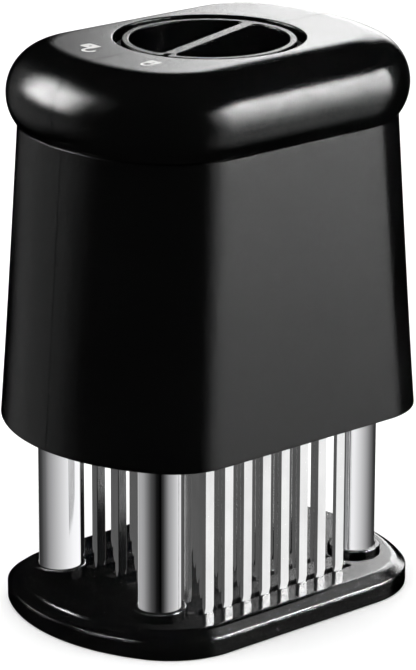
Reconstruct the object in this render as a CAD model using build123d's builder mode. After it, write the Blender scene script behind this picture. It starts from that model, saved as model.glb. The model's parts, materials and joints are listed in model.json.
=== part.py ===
from build123d import *
from math import cos, floor, radians, sin, sqrt
import os

# Blade meat tenderizer: a slotted base with four guide posts, and a housing that is pushed down
# along the posts against springs, so that seven combs of blades pass through the base.
# Millimetres, +Z up. The origin is under the middle of the base, X runs along the long side
# and -Y is the front.

# --- Base ---------------------------------------------------------------------------------------
base_half_length = 51.8
base_half_width = 37.0
base_end_radius = 50.9
base_corner_radius = 22.5
lower_plate_height = 4.4
upper_plate_height = 2.5
bevel_height = 2.1
bevel_width = 2.9
plate_edge_round = 0.6
bevel_edge_round = 0.3

# --- Guide posts and what they hold ---------------------------------------------------------------
post_x = 33.0
post_y = 19.5
post_radius = 5.3
post_wall = 0.9
post_seat_depth = 2.5
post_above_deck = 7.0
collar_radius = 6.8
collar_height = 2.6
collar_seat_depth = 1.0
collar_edge_round = 0.5
plug_length = 10.0
end_cap_spigot = 6.0
end_cap_flange = 1.0
post_screw_radius = 2.0
post_screw_head_radius = 3.8
post_screw_length = 9.0

# --- Return springs -------------------------------------------------------------------------------
spring_wire_radius = 0.5
spring_coil_radius = 3.6
spring_turns = 16
spring_end_gap = 0.15

# --- Blades ---------------------------------------------------------------------------------------
blade_columns = 8
column_pitch = 6.29
row_pitch = 8.4
blade_width = 2.7
blade_thickness = 1.5
blade_tip_height = 2.0
blade_tip_length = 3.5
spine_margin = 2.0
spine_height = 11.0
slot_side_clearance = 0.4
slot_end_margin = 2.6

# --- Travel of the housing ------------------------------------------------------------------------
press_travel = 38.0
skirt_stop_gap = 1.5
post_stop_gap = 2.0

# --- Skirt ----------------------------------------------------------------------------------------
skirt_half_length = 53.0
skirt_half_width = 37.8
skirt_end_radius = 51.0
skirt_corner_radius = 18.5
skirt_wall = 2.2
skirt_edge_round = 0.5
skirt_mouth_depth = 6.0
rib_height = 1.5
rib_width = 1.2
skirt_screw_x = 13.0
skirt_screw_inset = 6.6
skirt_boss_radius = 2.6
skirt_boss_height = 12.0
skirt_screw_radius = 1.25
skirt_screw_length = 10.0
seam_width = 0.25
seam_depth = 0.8
shadow_gap_height = 0.5
shadow_gap_depth = 0.8

# --- Cap ------------------------------------------------------------------------------------------
cap_half_length = 49.9
cap_half_width = 37.0
cap_end_radius = 60.0
cap_corner_radius = 25.6
cap_height = 20.0
cap_wall = 3.0
bullnose_radius = 12.3
bullnose_flat = 0.2
cap_lip_height = 2.2
cap_lip_wall = 1.2
cap_boss_x = 31.0
cap_boss_y = 11.0
cap_boss_radius = 3.0
cap_boss_height = 4.5
cap_screw_radius = 1.25
cap_screw_bite = 5.5
knob_hole_radius = 23.7
knob_hole_chamfer = 0.5

# --- Inner frame ----------------------------------------------------------------------------------
guide_plate_thickness = 4.0
deck_thickness = 4.0
top_frame_thickness = 3.5
bush_boss_height = 3.0
bush_boss_radius = 8.6
bush_radius = 7.0
bush_flange_radius = 8.2
bush_flange_height = 1.0
column_x = 39.0
column_radius = 3.5
tie_bolt_radius = 2.0
tie_nut_height = 3.0
tie_bolt_head_height = 2.2
small_head_height = 1.6
cup_rim_gap = 0.1
top_frame_inset = 5.0
cup_wall = 1.4
cup_radius = 23.0
cup_floor_thickness = 2.5

# --- Blade carrier --------------------------------------------------------------------------------
carrier_end_wall = 1.635
carrier_side_wall = 2.25
carrier_side_gap = 0.35
carrier_height = 14.0
carrier_gap = 2.0
carrier_pad_height = 4.0
carrier_pad_radius = 4.5
carrier_screw_x = 14.0
carrier_screw_inset = 6.2
carrier_screw_radius = 1.5
carrier_screw_head_radius = 2.9
carrier_screw_bite = 6.0
tie_rod_inset = 5.365
tie_rod_radius = 1.5
tie_rod_nut_height = 2.4

# --- Plunger rods ---------------------------------------------------------------------------------
plunger_rod_radius = 2.5
piston_height = 6.0
plunger_thread_radius = 2.0
plunger_nut_height = 2.6

# --- Lock -----------------------------------------------------------------------------------------
lock_turn_degrees = 36.0
lock_slide_travel = 4.0
slot_overrun = 1.8
knob_radius = 21.7
knob_ring_width = 1.9
knob_height = 20.0
knob_recess = 0.7
knob_floor_thickness = 2.5
knob_well_depth = 12.8
knob_rib_width = 3.5
knob_hub_radius = 6.0
knob_angle = 198.0
knob_edge_round = 0.35
pointer_notch_radius = 0.9
spindle_radius = 3.0
spindle_clip_radius = 5.5
spindle_clip_thickness = 0.8
clip_groove_depth = 0.6
cam_radius = 19.0
cam_thickness = 3.5
cam_hub_radius = 6.5
cam_hub_height = 10.0
cam_pin_radius = 1.0
slide_thickness = 5.0
slide_half_width = 5.0
slide_inner_end = 8.5
slide_pin_radius = 1.5
slide_pin_x = 14.0
crossbar_width = 4.5
pad_thickness = 2.0
pad_half_width = 4.5
pad_block_length = 5.0
pad_arm_length = 0.9
pad_face_clearance = 0.3
rail_width = 2.0
rail_inner_end = 6.0

# --- Fasteners ------------------------------------------------------------------------------------
bolt_end = 0.6
socket_width_share = 0.4
socket_depth_share = 0.6
nut_width_share = 1.75

# --- Clearances -----------------------------------------------------------------------------------
running_clearance = 0.06
seat_clearance = 0.02
plate_clearance = 0.25
slot_play = 0.15
slide_gap = 0.2
cam_gap = 0.4
knob_gap = 0.2
stop_gap = 0.2
rail_end_gap = 0.5
lip_clearance = 0.15
screw_sink = 0.1
screw_tip_gap = 1.0
cut_past = 1.0

# --- Heights that follow --------------------------------------------------------------------------
base_top = lower_plate_height + upper_plate_height
collar_top = base_top + collar_height
post_bottom = lower_plate_height - post_seat_depth
skirt_bottom = collar_top + press_travel + skirt_stop_gap
guide_plate_z = skirt_bottom + skirt_mouth_depth
guide_plate_top = guide_plate_z + guide_plate_thickness
carrier_z = guide_plate_top + bush_boss_height + carrier_gap
carrier_top = carrier_z + carrier_height
deck_z = carrier_top + carrier_pad_height
deck_top = deck_z + deck_thickness
post_top = deck_top + post_above_deck
top_frame_z = post_top + end_cap_flange + press_travel + post_stop_gap
top_frame_top = top_frame_z + top_frame_thickness
cap_top = top_frame_top + cap_boss_height + cap_wall
cap_seat = cap_top - cap_height
piston_top = post_top - end_cap_spigot - stop_gap
piston_bottom = piston_top - piston_height
plug_top = post_bottom + plug_length
knob_top = cap_top - knob_recess
knob_bottom = knob_top - knob_height
cup_floor_top = knob_bottom - knob_gap
cup_floor_bottom = cup_floor_top - cup_floor_thickness
cup_rim = cap_top - cap_wall - cup_rim_gap
slide_z = deck_top + slide_gap
cam_z = slide_z + slide_thickness + cam_gap

# --- Widths that follow ---------------------------------------------------------------------------
post_bore_radius = post_radius - post_wall
cap_undercut = bullnose_radius - sqrt(bullnose_radius**2 - (cap_height - bullnose_radius) ** 2)
skirt_screw_y = skirt_half_width - skirt_screw_inset
carrier_width_limit = skirt_screw_y - skirt_boss_radius - carrier_side_gap
row_space = carrier_width_limit - carrier_side_wall - blade_thickness / 2
blade_rows = 2 * floor(row_space / row_pitch) + 1
column_positions = [column_pitch * (i - (blade_columns - 1) / 2) for i in range(blade_columns)]
row_positions = [row_pitch * (i - (blade_rows - 1) / 2) for i in range(blade_rows)]
spine_half_length = column_positions[-1] + blade_width / 2 + spine_margin
carrier_half_length = spine_half_length + carrier_end_wall
carrier_half_width = row_positions[-1] + blade_thickness / 2 + carrier_side_wall
carrier_screw_y = carrier_half_width - carrier_screw_inset
tie_rod_x = spine_half_length - tie_rod_inset
slot_length = 2 * (column_positions[-1] + blade_width / 2 + slot_end_margin)
slot_width = blade_thickness + 2 * slot_side_clearance
pad_face_radius = post_radius + pad_face_clearance
pad_back_radius = pad_face_radius + pad_thickness
pad_block_x = post_x - pad_back_radius - pad_arm_length
crossbar_x = pad_block_x - crossbar_width
rail_outer_end = crossbar_x - lock_slide_travel - rail_end_gap

UP = (Align.CENTER, Align.CENTER, Align.MIN)
DOWN = (Align.CENTER, Align.CENTER, Align.MAX)
post_corners = {
    "front_left": (-post_x, -post_y),
    "front_right": (post_x, -post_y),
    "rear_left": (-post_x, post_y),
    "rear_right": (post_x, post_y),
}


def at_height(points, height):
    return [(x, y, height) for x, y in points]


def four_corners(x, y):
    return [(-x, -y), (x, -y), (-x, y), (x, y)]


posts = list(post_corners.values())


# --- Shared shapes --------------------------------------------------------------------------------
def oblong(half_length, half_width, end_radius, corner_radius, inset=0.0):
    """Outline with straight long sides, domed ends and rounded corners, moved in by inset."""
    length = half_length - inset
    width = half_width - inset
    radius = end_radius - inset
    corner_x = length - radius + sqrt(radius**2 - width**2)
    with BuildSketch() as face:
        with BuildLine():
            Line((-corner_x, width), (corner_x, width))
            ThreePointArc((corner_x, width), (length, 0), (corner_x, -width))
            Line((corner_x, -width), (-corner_x, -width))
            ThreePointArc((-corner_x, -width), (-length, 0), (-corner_x, width))
        make_face()
        fillet(face.vertices(), corner_radius - inset)
    return face.sketch


def base_oblong(inset=0.0):
    return oblong(base_half_length, base_half_width, base_end_radius, base_corner_radius, inset)


def cap_oblong(inset=0.0):
    return oblong(cap_half_length, cap_half_width, cap_end_radius, cap_corner_radius, inset)


def skirt_oblong(height, inset=0.0):
    """Outline of the tapering skirt at a height; at the top it meets the underside of the cap."""
    share = (height - skirt_bottom) / (cap_seat - skirt_bottom)
    low = (skirt_half_length, skirt_half_width, skirt_end_radius, skirt_corner_radius)
    cap = (cap_half_length, cap_half_width, cap_end_radius, cap_corner_radius)
    high = [size - cap_undercut for size in cap]
    return oblong(*[a + (b - a) * share for a, b in zip(low, high)], inset)


def skirt_form(inset, bottom, top):
    """Solid tapering block between two heights, moved in by inset."""
    with BuildPart() as form:
        with BuildSketch(Plane.XY.offset(bottom)):
            add(skirt_oblong(bottom, inset))
        with BuildSketch(Plane.XY.offset(top)):
            add(skirt_oblong(top, inset))
        loft()
    return form.part


def bullnose_form(inset):
    """Solid pillow with a half-round edge all the way round, moved in by inset."""
    height = 2 * (bullnose_radius - inset) + bullnose_flat
    with BuildPart() as form:
        with BuildSketch(Plane.XY.offset(cap_top - inset - height)):
            add(cap_oblong(inset))
        extrude(amount=height)
        rims = form.faces().filter_by(Axis.Z)
        fillet(rims.edges(), bullnose_radius - inset)
    return form.part


def screw(head_radius, head_height, shank_radius, length):
    """Screw that points down, its flat head standing on z = 0."""
    with BuildPart() as body:
        Cylinder(head_radius, head_height, align=UP)
        Cylinder(shank_radius, length, align=DOWN)
        with BuildSketch(Plane.XY.offset(head_height)):
            RegularPolygon(head_radius * socket_width_share, 6)
        extrude(amount=-head_height * socket_depth_share, mode=Mode.SUBTRACT)
    return body.part


def countersunk_screw(head_radius, shank_radius, length):
    """Screw that points down, the flat top of its cone head at z = 0."""
    cone_height = head_radius - shank_radius
    with BuildPart() as body:
        Cone(shank_radius, head_radius, cone_height, align=DOWN)
        Cylinder(shank_radius, length, align=DOWN)
        with BuildSketch():
            RegularPolygon(head_radius * socket_width_share, 6)
        extrude(amount=-cone_height * socket_depth_share, mode=Mode.SUBTRACT)
    return body.part


def nut(bore_radius, height):
    """Hexagon nut standing on z = 0."""
    with BuildPart() as body:
        with BuildSketch():
            RegularPolygon(bore_radius * nut_width_share, 6, major_radius=False)
            Circle(bore_radius, mode=Mode.SUBTRACT)
        extrude(amount=height)
    return body.part


def flipped(points, height):
    """Places at a height that turn a screw or nut upside down."""
    return [Location((x, y, height), (180, 0, 0)) for x, y in points]


# --- Base plates ----------------------------------------------------------------------------------
with BuildPart() as base_lower_plate:
    with BuildSketch():
        add(base_oblong())
    extrude(amount=lower_plate_height)
    fillet(base_lower_plate.faces().filter_by(Axis.Z).edges(), plate_edge_round)
    with GridLocations(1, row_pitch, 1, blade_rows):
        Box(slot_length, slot_width, lower_plate_height, align=UP, mode=Mode.SUBTRACT)
    with Locations(*at_height(posts, post_bottom)):
        Cylinder(post_radius + seat_clearance, post_seat_depth, align=UP, mode=Mode.SUBTRACT)
    with Locations(*flipped(posts, 0)):
        CounterSinkHole(post_screw_radius + seat_clearance, post_screw_head_radius + screw_sink)

with BuildPart() as base_upper_plate:
    with BuildSketch(Plane.XY.offset(lower_plate_height)):
        add(base_oblong())
    extrude(amount=upper_plate_height - bevel_height)
    with BuildSketch(Plane.XY.offset(base_top - bevel_height)):
        add(base_oblong())
    with BuildSketch(Plane.XY.offset(base_top)):
        add(base_oblong(bevel_width))
    loft()
    fillet(base_upper_plate.faces().sort_by(Axis.Z)[-1].edges(), bevel_edge_round)
    with GridLocations(1, row_pitch, 1, blade_rows):
        Box(slot_length, slot_width, base_top, align=UP, mode=Mode.SUBTRACT)
    with Locations(*at_height(posts, 0)):
        Cylinder(post_radius + seat_clearance, base_top, align=UP, mode=Mode.SUBTRACT)
    with Locations(*at_height(posts, base_top - collar_seat_depth)):
        Cylinder(collar_radius + seat_clearance, collar_seat_depth, align=UP, mode=Mode.SUBTRACT)


# --- Guide posts and what they hold ---------------------------------------------------------------
guide_posts = {}
return_springs = {}
plunger_rods = {}
for corner, (x, y) in post_corners.items():
    with BuildPart() as guide_post:
        with Locations((x, y, post_bottom)):
            Cylinder(post_radius, post_top - post_bottom, align=UP)
            Cylinder(post_bore_radius, post_top - post_bottom, align=UP, mode=Mode.SUBTRACT)
    guide_posts[corner] = guide_post

    coil_bottom = plug_top + spring_end_gap + spring_wire_radius
    coil_height = piston_bottom - spring_end_gap - spring_wire_radius - coil_bottom
    with BuildPart() as return_spring:
        with BuildLine(Plane((x, y, coil_bottom))) as coil:
            Helix(coil_height / spring_turns, coil_height, spring_coil_radius)
        with BuildSketch(Plane(coil.line @ 0, z_dir=coil.line % 0)):
            Circle(spring_wire_radius)
        sweep(is_frenet=True)
    return_springs[corner] = return_spring

    with BuildPart() as plunger_rod:
        with Locations((x, y, piston_bottom)):
            Cylinder(post_bore_radius - running_clearance, piston_height, align=UP)
        with Locations((x, y, piston_top)):
            Cylinder(plunger_rod_radius, top_frame_z - piston_top, align=UP)
        with Locations((x, y, top_frame_z)):
            thread_length = top_frame_thickness + plunger_nut_height + bolt_end
            Cylinder(plunger_thread_radius, thread_length, align=UP)
    plunger_rods[corner] = plunger_rod

with BuildPart() as post_collars:
    with Locations(*at_height(posts, base_top - collar_seat_depth)):
        Cylinder(collar_radius, collar_height + collar_seat_depth, align=UP)
        Cylinder(post_radius + seat_clearance, collar_height + collar_seat_depth, align=UP,
                 mode=Mode.SUBTRACT)
    rims = post_collars.edges().filter_by(GeomType.CIRCLE).group_by(Axis.Z)[-1]
    fillet(rims.group_by(SortBy.RADIUS)[-1], collar_edge_round)

with BuildPart() as post_plugs:
    with Locations(*at_height(posts, post_bottom)):
        Cylinder(post_bore_radius - seat_clearance, plug_length, align=UP)
        Cylinder(post_screw_radius, post_screw_length, align=UP, mode=Mode.SUBTRACT)

with BuildPart() as post_end_caps:
    with Locations(*at_height(posts, post_top - end_cap_spigot)):
        Cylinder(post_bore_radius - seat_clearance, end_cap_spigot, align=UP)
    with Locations(*at_height(posts, post_top)):
        Cylinder(post_radius, end_cap_flange, align=UP)
    with Locations(*at_height(posts, post_top)):
        Hole(plunger_rod_radius + running_clearance)

with BuildPart() as post_screws:
    with Locations(*flipped(posts, screw_sink)):
        add(countersunk_screw(post_screw_head_radius, post_screw_radius - seat_clearance,
                              post_screw_length))


# --- Skirt ----------------------------------------------------------------------------------------
skirt_screw_points = four_corners(skirt_screw_x, skirt_screw_y)

with BuildPart() as skirt_bosses:
    with Locations(*at_height(skirt_screw_points, guide_plate_top)):
        Cylinder(skirt_boss_radius, skirt_boss_height, align=UP)
    for side in (-1, 1):
        with Locations(*at_height([(-skirt_screw_x, side * skirt_half_width),
                                   (skirt_screw_x, side * skirt_half_width)], guide_plate_top)):
            Box(2 * skirt_boss_radius, 2 * (skirt_half_width - skirt_screw_y), skirt_boss_height,
                align=UP)
    add(skirt_form(skirt_wall / 2, skirt_bottom, cap_seat), mode=Mode.INTERSECT)
    with Locations(*at_height(skirt_screw_points, guide_plate_top)):
        Cylinder(skirt_screw_radius, skirt_screw_length, align=UP, mode=Mode.SUBTRACT)

# A strip along the parting plane, open to the outside, that leaves a fine seam line on the shells.
with BuildPart() as seam_strip:
    Box(2 * (skirt_half_length + cut_past), seam_width, cap_top + cut_past, align=UP)
    add(skirt_form(seam_depth, skirt_bottom - cut_past, cap_seat), mode=Mode.SUBTRACT)
    add(bullnose_form(seam_depth), mode=Mode.SUBTRACT)

with BuildPart() as skirt_shell:
    add(skirt_form(0, skirt_bottom, cap_seat))
    fillet(skirt_shell.faces().sort_by(Axis.Z)[0].edges(), skirt_edge_round)
    add(skirt_form(skirt_wall, skirt_bottom - cut_past, cap_seat + cut_past), mode=Mode.SUBTRACT)
    for plate_z in (guide_plate_z, deck_z):
        with BuildSketch(Plane.XY.offset(plate_z)):
            add(skirt_oblong(plate_z, skirt_wall / 2))
            add(skirt_oblong(plate_z, skirt_wall + rib_width), mode=Mode.SUBTRACT)
        extrude(amount=-rib_height)
    with BuildSketch(Plane.XY.offset(cap_seat)):
        add(skirt_oblong(cap_seat, -cut_past))
        add(skirt_oblong(cap_seat, shadow_gap_depth), mode=Mode.SUBTRACT)
    extrude(amount=-shadow_gap_height, mode=Mode.SUBTRACT)
    add(skirt_bosses.part)
    add(seam_strip.part, mode=Mode.SUBTRACT)

with BuildPart() as skirt_front_half:
    add(skirt_shell.part)
    split(bisect_by=Plane.XZ, keep=Keep.TOP)

with BuildPart() as skirt_rear_half:
    add(skirt_shell.part)
    split(bisect_by=Plane.XZ, keep=Keep.BOTTOM)


# --- Cap ------------------------------------------------------------------------------------------
cap_boss_points = four_corners(cap_boss_x, cap_boss_y)

with BuildPart() as cap_shell:
    add(bullnose_form(0))
    add(bullnose_form(cap_wall), mode=Mode.SUBTRACT)
    with Locations(*at_height(cap_boss_points, top_frame_top)):
        Cylinder(cap_boss_radius, cap_boss_height + cap_wall / 2, align=UP)
        Cylinder(cap_screw_radius, cap_screw_bite, align=UP, mode=Mode.SUBTRACT)
    split(bisect_by=Plane.XY.offset(cap_seat), keep=Keep.TOP)
    with BuildSketch(Plane.XY.offset(cap_seat - cap_lip_height)):
        add(skirt_oblong(cap_seat, skirt_wall + lip_clearance))
        add(skirt_oblong(cap_seat, skirt_wall + lip_clearance + cap_lip_wall), mode=Mode.SUBTRACT)
    extrude(amount=cap_lip_height + cap_lip_wall)
    with Locations((0, 0, cap_top)):
        Cylinder(knob_hole_radius, 2 * cap_wall, mode=Mode.SUBTRACT)
    hole_rim = cap_shell.edges().filter_by(GeomType.CIRCLE).sort_by(Axis.Z)[-1]
    chamfer(hole_rim, knob_hole_chamfer)
    add(seam_strip.part, mode=Mode.SUBTRACT)

with BuildPart() as cap_front_half:
    add(cap_shell.part)
    split(bisect_by=Plane.XZ, keep=Keep.TOP)

with BuildPart() as cap_rear_half:
    add(cap_shell.part)
    split(bisect_by=Plane.XZ, keep=Keep.BOTTOM)


# --- Inner frame ----------------------------------------------------------------------------------
column_points = [(-column_x, 0), (column_x, 0)]
carrier_screw_points = four_corners(carrier_screw_x, carrier_screw_y)

with BuildPart() as guide_plate:
    with Locations((0, 0, guide_plate_z)):
        Box(2 * skirt_half_length, 2 * skirt_half_width, guide_plate_thickness, align=UP)
    add(skirt_form(skirt_wall + plate_clearance, skirt_bottom, cap_seat), mode=Mode.INTERSECT)
    with Locations(*at_height(posts, guide_plate_top)):
        Cylinder(bush_boss_radius, bush_boss_height, align=UP)
    with Locations(*at_height(posts, guide_plate_z)):
        Cylinder(bush_radius + seat_clearance, guide_plate_thickness + bush_boss_height, align=UP,
                 mode=Mode.SUBTRACT)
    with Locations(*[(0, y, guide_plate_z) for y in row_positions]):
        Box(slot_length, slot_width, guide_plate_thickness, align=UP, mode=Mode.SUBTRACT)
    with Locations(*at_height(column_points, guide_plate_top)):
        Hole(tie_bolt_radius + slot_play)
    with Locations(*at_height(skirt_screw_points, guide_plate_top)):
        Hole(skirt_screw_radius + slot_play)

with BuildPart() as middle_deck:
    with Locations((0, 0, deck_z)):
        Box(2 * skirt_half_length, 2 * skirt_half_width, deck_thickness, align=UP)
    add(skirt_form(skirt_wall + plate_clearance, skirt_bottom, cap_seat), mode=Mode.INTERSECT)
    with Locations(*at_height(posts, deck_z)):
        Cylinder(bush_boss_radius, bush_boss_height, align=DOWN)
    with Locations(*at_height(posts, deck_z - bush_boss_height)):
        Cylinder(bush_radius + seat_clearance, deck_thickness + bush_boss_height, align=UP,
                 mode=Mode.SUBTRACT)
    with Locations(*at_height(column_points, deck_top)):
        Hole(tie_bolt_radius + slot_play)
    with Locations(*at_height(carrier_screw_points, deck_top)):
        CounterSinkHole(carrier_screw_radius + slot_play, carrier_screw_head_radius + screw_sink)
    with Locations((0, 0, deck_top)):
        Hole(spindle_radius + running_clearance)
    rail_x = (rail_inner_end + rail_outer_end) / 2
    rail_y = slide_half_width + slot_play + rail_width / 2
    with Locations(*at_height(four_corners(rail_x, rail_y), deck_top)):
        Box(rail_outer_end - rail_inner_end, rail_width, slide_thickness, align=UP)

with BuildPart() as top_frame:
    with BuildSketch(Plane.XY.offset(top_frame_z)):
        add(cap_oblong(top_frame_inset))
    extrude(amount=top_frame_thickness)
    with Locations((0, 0, cup_floor_bottom)):
        Cylinder(cup_radius + cup_wall, cup_rim - cup_floor_bottom, align=UP)
    with Locations((0, 0, cup_floor_top)):
        Cylinder(cup_radius, cap_top - cup_floor_top, align=UP, mode=Mode.SUBTRACT)
        Hole(spindle_radius + running_clearance)
    with Locations(*at_height(posts, top_frame_top)):
        Hole(plunger_thread_radius + seat_clearance)
    with Locations(*at_height(column_points, top_frame_top)):
        Hole(tie_bolt_radius + slot_play)
    with Locations(*at_height(cap_boss_points, top_frame_top)):
        Hole(cap_screw_radius + slot_play)


def guide_bushes(bottom, length):
    """Four flanged bushes that slide on the posts; bottom is the height of the flange's top."""
    with BuildPart() as bushes:
        with Locations(*at_height(posts, bottom)):
            Cylinder(bush_radius, length, align=UP)
            Cylinder(bush_flange_radius, bush_flange_height, align=DOWN)
        with Locations(*at_height(posts, bottom)):
            Hole(post_radius + running_clearance)
    return bushes


lower_guide_bushes = guide_bushes(guide_plate_z, guide_plate_thickness + bush_boss_height)
upper_guide_bushes = guide_bushes(deck_z - bush_boss_height, deck_thickness + bush_boss_height)

with BuildPart() as lower_columns:
    with Locations(*at_height(column_points, guide_plate_top)):
        Cylinder(column_radius, deck_z - guide_plate_top, align=UP)
        Hole(tie_bolt_radius + slot_play)

with BuildPart() as upper_columns:
    with Locations(*at_height(column_points, deck_top)):
        Cylinder(column_radius, top_frame_z - deck_top, align=UP)
        Hole(tie_bolt_radius + slot_play)

with BuildPart() as tie_bolts:
    bolt_length = top_frame_top - guide_plate_z + tie_nut_height + bolt_end
    with Locations(*at_height(column_points, top_frame_top)):
        add(screw(column_radius, tie_bolt_head_height, tie_bolt_radius, bolt_length))

with BuildPart() as tie_nuts:
    with Locations(*at_height(column_points, guide_plate_z - tie_nut_height)):
        add(nut(tie_bolt_radius + seat_clearance, tie_nut_height))

with BuildPart() as plunger_nuts:
    with Locations(*at_height(posts, top_frame_top)):
        add(nut(plunger_thread_radius + seat_clearance, plunger_nut_height))

with BuildPart() as skirt_screws:
    with Locations(*flipped(skirt_screw_points, guide_plate_z)):
        add(screw(skirt_boss_radius, small_head_height, skirt_screw_radius - seat_clearance,
                  guide_plate_thickness + skirt_screw_length - screw_tip_gap))

with BuildPart() as cap_screws:
    with Locations(*flipped(cap_boss_points, top_frame_z)):
        add(screw(skirt_boss_radius, small_head_height, cap_screw_radius - seat_clearance,
                  top_frame_thickness + cap_screw_bite - screw_tip_gap))


# --- Blade carrier and combs ----------------------------------------------------------------------
tie_rod_z = carrier_z + spine_height / 2
tie_rod_half_length = carrier_half_width + tie_rod_nut_height + bolt_end

with BuildPart() as blade_carrier:
    with Locations((0, 0, carrier_z)):
        Box(2 * carrier_half_length, 2 * carrier_half_width, carrier_height, align=UP)
    with Locations(*at_height(carrier_screw_points, carrier_top)):
        Cylinder(carrier_pad_radius, carrier_pad_height, align=UP)
    with Locations(*[(0, y, carrier_z) for y in row_positions]):
        Box(2 * (spine_half_length + seat_clearance), blade_thickness + 2 * seat_clearance,
            spine_height + seat_clearance, align=UP, mode=Mode.SUBTRACT)
    with Locations(*at_height(carrier_screw_points, deck_z)):
        Cylinder(carrier_screw_radius, carrier_screw_bite, align=DOWN, mode=Mode.SUBTRACT)
    with Locations(*[Location((x, 0, tie_rod_z), (90, 0, 0)) for x in (-tie_rod_x, tie_rod_x)]):
        Hole(tie_rod_radius + seat_clearance)

with BuildPart() as carrier_screws:
    with Locations(*at_height(carrier_screw_points, deck_top - screw_sink)):
        add(countersunk_screw(carrier_screw_head_radius, carrier_screw_radius - seat_clearance,
                              deck_thickness + carrier_screw_bite - screw_tip_gap))

with BuildPart() as comb_tie_rods:
    with Locations(*[Location((x, 0, tie_rod_z), (90, 0, 0)) for x in (-tie_rod_x, tie_rod_x)]):
        Cylinder(tie_rod_radius, 2 * tie_rod_half_length)

with BuildPart() as comb_tie_nuts:
    for side in (-1, 1):
        nut_places = [Location((x, side * carrier_half_width, tie_rod_z), (-90 * side, 0, 0))
                      for x in (-tie_rod_x, tie_rod_x)]
        with Locations(*nut_places):
            add(nut(tie_rod_radius + seat_clearance, tie_rod_nut_height))


def blade_comb(row_y):
    """One flat comb: a spine with pointed blades hanging from it, at a row's middle."""
    half = blade_width / 2
    shoulder = blade_tip_height + blade_tip_length
    blade = [(-half, carrier_z), (half, carrier_z), (half, shoulder), (0, blade_tip_height),
             (-half, shoulder)]
    with BuildPart() as comb:
        with BuildSketch(Plane.XZ.offset(-row_y)):
            with Locations((0, tie_rod_z)):
                Rectangle(2 * spine_half_length, spine_height)
            with Locations(*[(x, 0) for x in column_positions]):
                Polygon(*blade, align=None)
            with Locations((-tie_rod_x, tie_rod_z), (tie_rod_x, tie_rod_z)):
                Circle(tie_rod_radius + seat_clearance, mode=Mode.SUBTRACT)
        extrude(amount=blade_thickness / 2, both=True)
    return comb


blade_combs = [blade_comb(row_y) for row_y in row_positions]


# --- Lock -----------------------------------------------------------------------------------------
slide_travel_per_degree = lock_slide_travel / lock_turn_degrees
knob_well_bottom = knob_top - knob_well_depth
knob_floor_bottom = knob_well_bottom - knob_floor_thickness
spindle_top = knob_well_bottom - knob_floor_thickness / 2
cam_pin_z = cam_z + cam_thickness + (cam_hub_height - cam_thickness) / 2
clip_z = cup_floor_bottom - slide_gap - spindle_clip_thickness

with BuildPart() as lock_knob:
    with Locations((0, 0, knob_bottom)):
        Cylinder(knob_radius, knob_height, align=UP)
    with BuildSketch(Plane.XY.offset(knob_well_bottom)):
        Circle(knob_radius - knob_ring_width)
        Rectangle(2 * knob_radius, knob_rib_width, rotation=knob_angle, mode=Mode.SUBTRACT)
    extrude(amount=knob_well_depth, mode=Mode.SUBTRACT)
    with BuildSketch(Plane.XY.offset(knob_bottom)):
        Circle(knob_radius - knob_ring_width)
        Circle(knob_hub_radius, mode=Mode.SUBTRACT)
    extrude(amount=knob_floor_bottom - knob_bottom, mode=Mode.SUBTRACT)
    with Locations((0, 0, knob_bottom)):
        Cylinder(spindle_radius + seat_clearance, spindle_top - knob_bottom + seat_clearance,
                 align=UP, mode=Mode.SUBTRACT)
    fillet(lock_knob.faces().sort_by(Axis.Z)[-1].edges(), knob_edge_round)
    notch_middle = knob_radius - knob_ring_width / 2
    with Locations(Location((notch_middle * cos(radians(knob_angle)),
                             notch_middle * sin(radians(knob_angle)), knob_top),
                            (0, 90, knob_angle))):
        Cylinder(pointer_notch_radius, 2 * knob_ring_width, mode=Mode.SUBTRACT)

with BuildPart() as lock_spindle:
    with Locations((0, 0, deck_z + slot_play)):
        Cylinder(spindle_radius, spindle_top - deck_z - slot_play, align=UP)
    with BuildSketch(Plane.XY.offset(clip_z)):
        Circle(spindle_radius + cut_past)
        Circle(spindle_radius - clip_groove_depth, mode=Mode.SUBTRACT)
    extrude(amount=spindle_clip_thickness, mode=Mode.SUBTRACT)
    with Locations(Location((0, 0, cam_pin_z), (0, 90, 0))):
        Hole(cam_pin_radius)

with BuildPart() as spindle_clip:
    with BuildSketch(Plane.XY.offset(clip_z)):
        Circle(spindle_clip_radius)
        Circle(spindle_radius - clip_groove_depth + seat_clearance, mode=Mode.SUBTRACT)
        with Locations((0, -spindle_clip_radius / 2)):
            Rectangle(2 * (spindle_radius - clip_groove_depth), spindle_clip_radius + cut_past,
                      mode=Mode.SUBTRACT)
    extrude(amount=spindle_clip_thickness)


def follower_place(turn):
    """Where a follower pin stands in the cam disc once the disc has turned back by turn degrees."""
    reach = slide_pin_x - slide_travel_per_degree * turn
    return (reach * cos(radians(turn)), reach * sin(radians(turn)))


# An arc through both ends and the middle of the turn, which keeps the travel even. It runs a little
# past each end.
slot_turns = (-slot_overrun, lock_turn_degrees / 2, lock_turn_degrees + slot_overrun)
with BuildLine() as slot_path:
    ThreePointArc(*[follower_place(turn) for turn in slot_turns])

with BuildPart() as lock_cam:
    with Locations((0, 0, cam_z)):
        Cylinder(cam_radius, cam_thickness, align=UP)
        Cylinder(cam_hub_radius, cam_hub_height, align=UP)
    with BuildSketch(Plane.XY.offset(cam_z)):
        with PolarLocations(0, 2):
            SlotArc(slot_path.edge(), 2 * (slide_pin_radius + slot_play))
    extrude(amount=cam_thickness, mode=Mode.SUBTRACT)
    with Locations((0, 0, cam_z)):
        Hole(spindle_radius + seat_clearance)
    with Locations(Location((0, 0, cam_pin_z), (0, 90, 0))):
        Hole(cam_pin_radius + seat_clearance)

with BuildPart() as cam_pin:
    with Locations(Location((0, 0, cam_pin_z), (0, 90, 0))):
        Cylinder(cam_pin_radius - seat_clearance, 2 * cam_hub_radius)


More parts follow.
